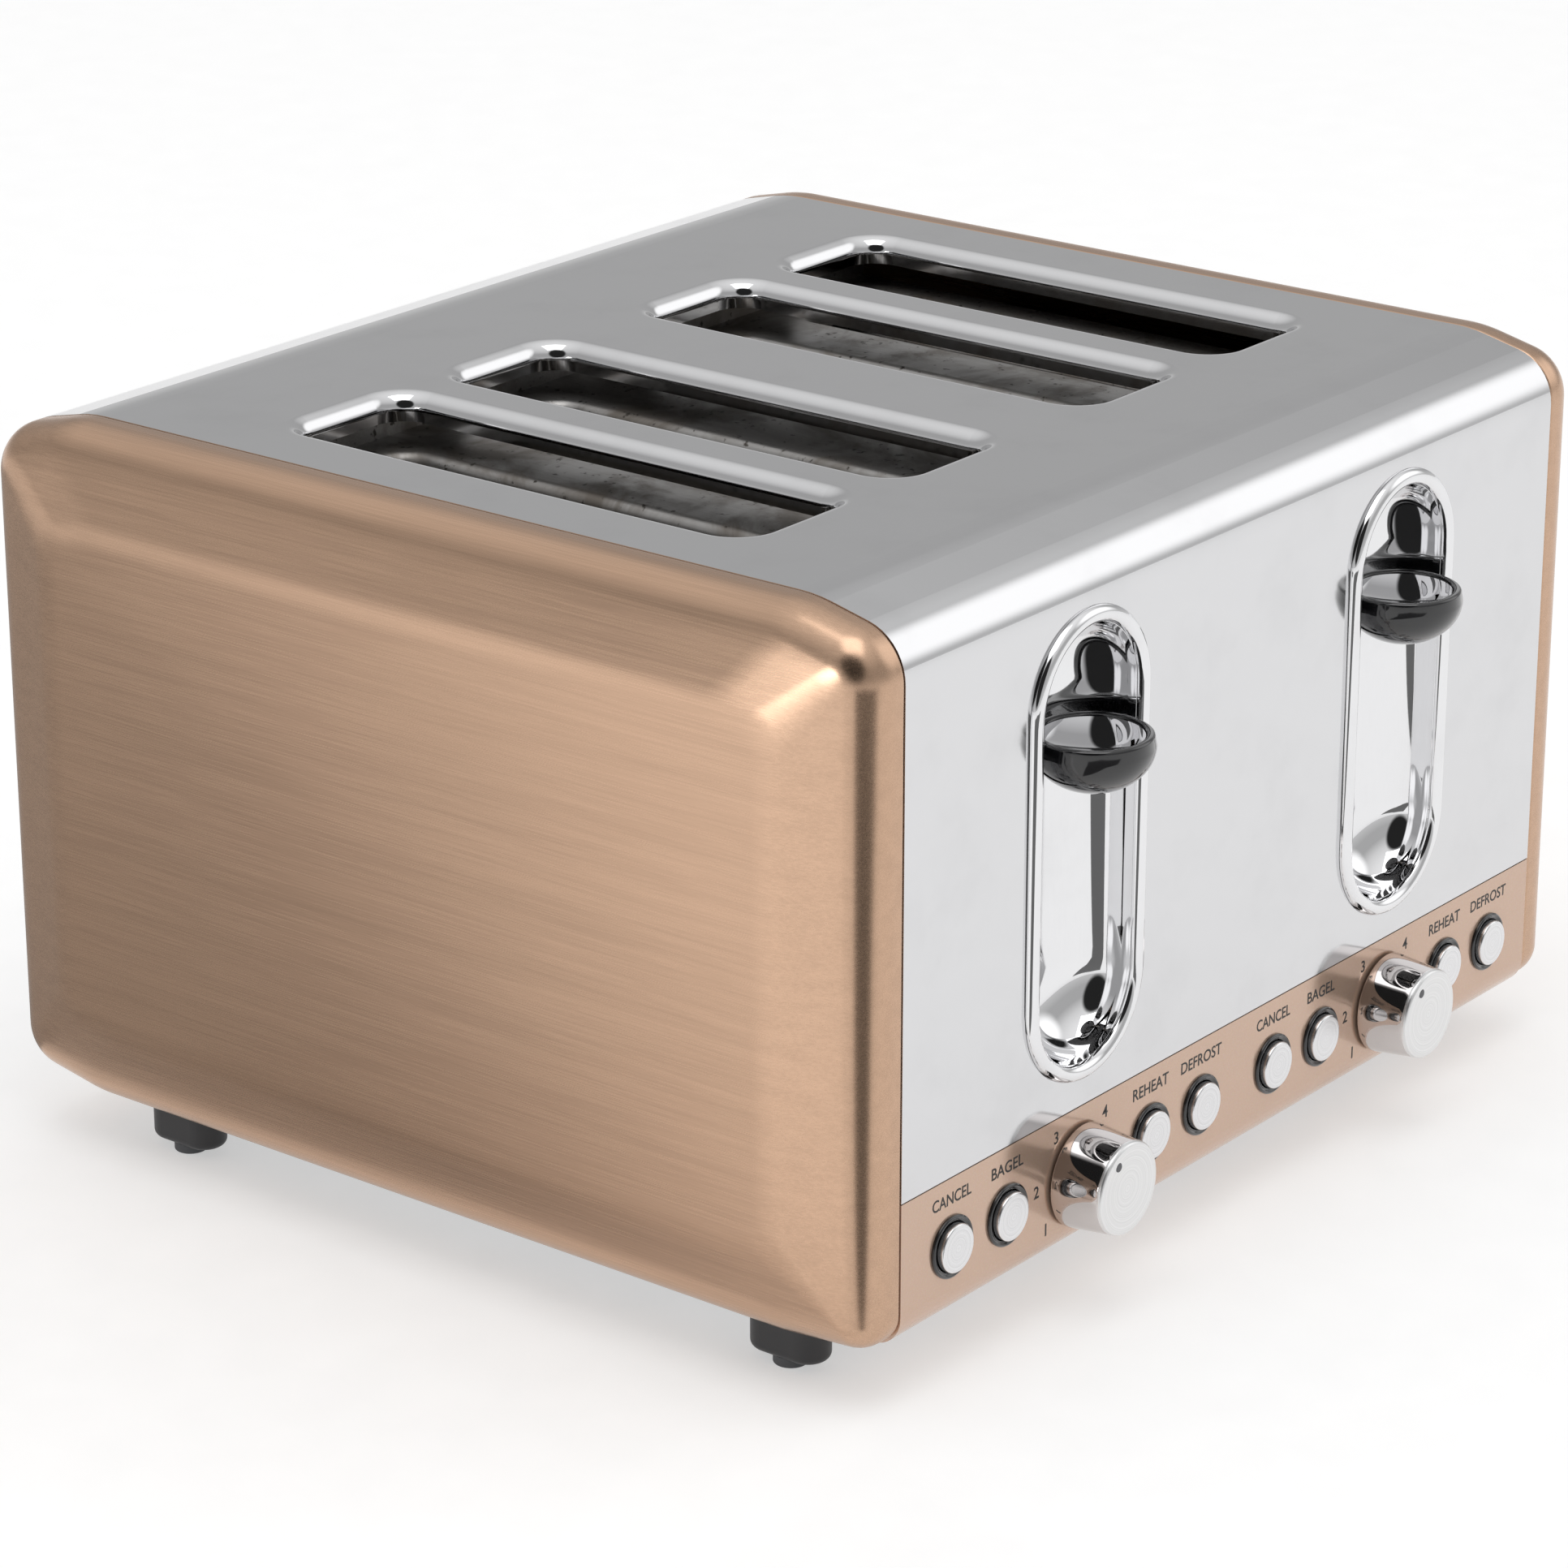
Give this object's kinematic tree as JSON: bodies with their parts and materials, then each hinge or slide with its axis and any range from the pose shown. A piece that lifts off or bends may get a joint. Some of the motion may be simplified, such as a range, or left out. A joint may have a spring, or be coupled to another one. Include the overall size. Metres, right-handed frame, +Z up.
{
  "type": "pop up toaster",
  "caption": "Pop up toaster with long paired bread slots, lowering levers in scooped channels, browning dials, push buttons and pull-out crumb trays.",
  "frame": {"origin": "on the ground, below the middle of the whole object", "axes": "+Z up, +X to the right seen from the front, -Y towards the front with the levers and dials"},
  "size_m": [0.3072, 0.291, 0.189],
  "materials": {
    "polished_steel": "polished stainless sheet",
    "copper_panel": "copper-coloured sheet, brushed from front to rear",
    "copper_strip": "satin copper-coloured coat",
    "bright_chrome": "mirror bright",
    "satin_cap": "fine brushed",
    "black_gloss": "glossy black",
    "black_moulding": "satin black",
    "soft_pad": "matt grey",
    "inner_steel": "plain steel sheet and wire",
    "galvanised_base": "galvanised sheet",
    "mica": "pressed mica",
    "spring_steel": "bright wire",
    "magnet_iron": "iron core with enamelled winding",
    "circuit_board": "lacquered laminate"
  },
  "bodies": {
    "housing": {"base_plate": "galvanised_base", "body_screws": "spring_steel", "button_rings": "black_gloss", "centre_reflector": "inner_steel", "control_panel": "copper_strip", "cord_gland": "black_moulding", "feet": "black_moulding", "foot_pads": "soft_pad", "front_bulkhead": "inner_steel", "heater_board_1": "mica", "heater_board_2": "mica", "heater_board_3": "mica", "heater_board_4": "mica", "heater_board_5": "mica", "heater_board_6": "mica", "left_control_board": "circuit_board", "left_electromagnet": "magnet_iron", "left_guide_rods": "spring_steel", "left_lever_channel": "bright_chrome", "left_lift_spring": "spring_steel", "left_mechanism_bracket": "inner_steel", "left_reflector": "inner_steel", "left_side_panel": "copper_panel", "rear_bulkhead": "inner_steel", "rear_panel": "copper_strip", "right_control_board": "circuit_board", "right_electromagnet": "magnet_iron", "right_guide_rods": "spring_steel", "right_lever_channel": "bright_chrome", "right_lift_spring": "spring_steel", "right_mechanism_bracket": "inner_steel", "right_reflector": "inner_steel", "right_side_panel": "copper_panel", "slot_frame": "inner_steel", "terminal_block": "black_moulding", "wrap_cover": "polished_steel"},
    "left_lift": {"left_carriage": "inner_steel", "left_lever_knob": "black_gloss", "left_lever_cap": "bright_chrome", "left_bread_rack": "inner_steel"},
    "left_guides_a": {"left_guides_a": "inner_steel"},
    "left_guides_b": {"left_guides_b": "inner_steel"},
    "left_cancel_button": {"left_cancel_button": "satin_cap"},
    "left_bagel_button": {"left_bagel_button": "satin_cap"},
    "left_reheat_button": {"left_reheat_button": "satin_cap"},
    "left_defrost_button": {"left_defrost_button": "satin_cap"},
    "left_dial": {"left_dial": "bright_chrome"},
    "left_crumb_tray": {"left_crumb_tray": "inner_steel"},
    "right_lift": {"right_carriage": "inner_steel", "right_lever_knob": "black_gloss", "right_lever_cap": "bright_chrome", "right_bread_rack": "inner_steel"},
    "right_guides_a": {"right_guides_a": "inner_steel"},
    "right_guides_b": {"right_guides_b": "inner_steel"},
    "right_cancel_button": {"right_cancel_button": "satin_cap"},
    "right_bagel_button": {"right_bagel_button": "satin_cap"},
    "right_reheat_button": {"right_reheat_button": "satin_cap"},
    "right_defrost_button": {"right_defrost_button": "satin_cap"},
    "right_dial": {"right_dial": "bright_chrome"},
    "right_crumb_tray": {"right_crumb_tray": "inner_steel"}
  },
  "joints": [
    {"name": "left_lever", "type": "slide", "parent": "housing", "child": "left_lift", "axis": [0, 0, 1], "range_m": [-0.056, 0.014], "stiffness_N_per_m": 80, "springref_m": 0.0174, "deforming": ["left_lift_spring"]},
    {"name": "left_guides_a_slide", "type": "slide", "parent": "housing", "child": "left_guides_a", "axis": [1, 0, 0], "range_m": [-0.0015, 0.006]},
    {"name": "left_guides_b_slide", "type": "slide", "parent": "housing", "child": "left_guides_b", "axis": [1, 0, 0], "range_m": [-0.006, 0.0015]},
    {"name": "left_cancel_button_press", "type": "slide", "parent": "housing", "child": "left_cancel_button", "axis": [0, 1, 0], "range_m": [0, 0.0018], "stiffness_N_per_m": 400, "springref_m": -0.0015},
    {"name": "left_bagel_button_press", "type": "slide", "parent": "housing", "child": "left_bagel_button", "axis": [0, 1, 0], "range_m": [0, 0.0018], "stiffness_N_per_m": 400, "springref_m": -0.0015},
    {"name": "left_reheat_button_press", "type": "slide", "parent": "housing", "child": "left_reheat_button", "axis": [0, 1, 0], "range_m": [0, 0.0018], "stiffness_N_per_m": 400, "springref_m": -0.0015},
    {"name": "left_defrost_button_press", "type": "slide", "parent": "housing", "child": "left_defrost_button", "axis": [0, 1, 0], "range_m": [0, 0.0018], "stiffness_N_per_m": 400, "springref_m": -0.0015},
    {"name": "left_dial_turn", "type": "hinge", "parent": "housing", "child": "left_dial", "pos_m": [-0.06575, -0.12985, 0.0335], "axis": [0, 1, 0], "range_deg": [-98, 162]},
    {"name": "left_crumb_tray_pull", "type": "slide", "parent": "housing", "child": "left_crumb_tray", "axis": [0, 1, 0], "range_m": [0, 0.17]},
    {"name": "right_lever", "type": "slide", "parent": "housing", "child": "right_lift", "axis": [0, 0, 1], "range_m": [-0.056, 0.014], "stiffness_N_per_m": 80, "springref_m": 0.0174, "deforming": ["right_lift_spring"]},
    {"name": "right_guides_a_slide", "type": "slide", "parent": "housing", "child": "right_guides_a", "axis": [1, 0, 0], "range_m": [-0.0015, 0.006]},
    {"name": "right_guides_b_slide", "type": "slide", "parent": "housing", "child": "right_guides_b", "axis": [1, 0, 0], "range_m": [-0.006, 0.0015]},
    {"name": "right_cancel_button_press", "type": "slide", "parent": "housing", "child": "right_cancel_button", "axis": [0, 1, 0], "range_m": [0, 0.0018], "stiffness_N_per_m": 400, "springref_m": -0.0015},
    {"name": "right_bagel_button_press", "type": "slide", "parent": "housing", "child": "right_bagel_button", "axis": [0, 1, 0], "range_m": [0, 0.0018], "stiffness_N_per_m": 400, "springref_m": -0.0015},
    {"name": "right_reheat_button_press", "type": "slide", "parent": "housing", "child": "right_reheat_button", "axis": [0, 1, 0], "range_m": [0, 0.0018], "stiffness_N_per_m": 400, "springref_m": -0.0015},
    {"name": "right_defrost_button_press", "type": "slide", "parent": "housing", "child": "right_defrost_button", "axis": [0, 1, 0], "range_m": [0, 0.0018], "stiffness_N_per_m": 400, "springref_m": -0.0015},
    {"name": "right_dial_turn", "type": "hinge", "parent": "housing", "child": "right_dial", "pos_m": [0.06575, -0.12985, 0.0335], "axis": [0, 1, 0], "range_deg": [-98, 162]},
    {"name": "right_crumb_tray_pull", "type": "slide", "parent": "housing", "child": "right_crumb_tray", "axis": [0, 1, 0], "range_m": [0, 0.17]}
  ],
  "couplings": [
    {"joint": "left_guides_a_slide", "follows": "left_lever", "ratio": -0.107},
    {"joint": "left_guides_b_slide", "follows": "left_lever", "ratio": 0.107},
    {"joint": "right_guides_a_slide", "follows": "right_lever", "ratio": -0.107},
    {"joint": "right_guides_b_slide", "follows": "right_lever", "ratio": 0.107}
  ]
}
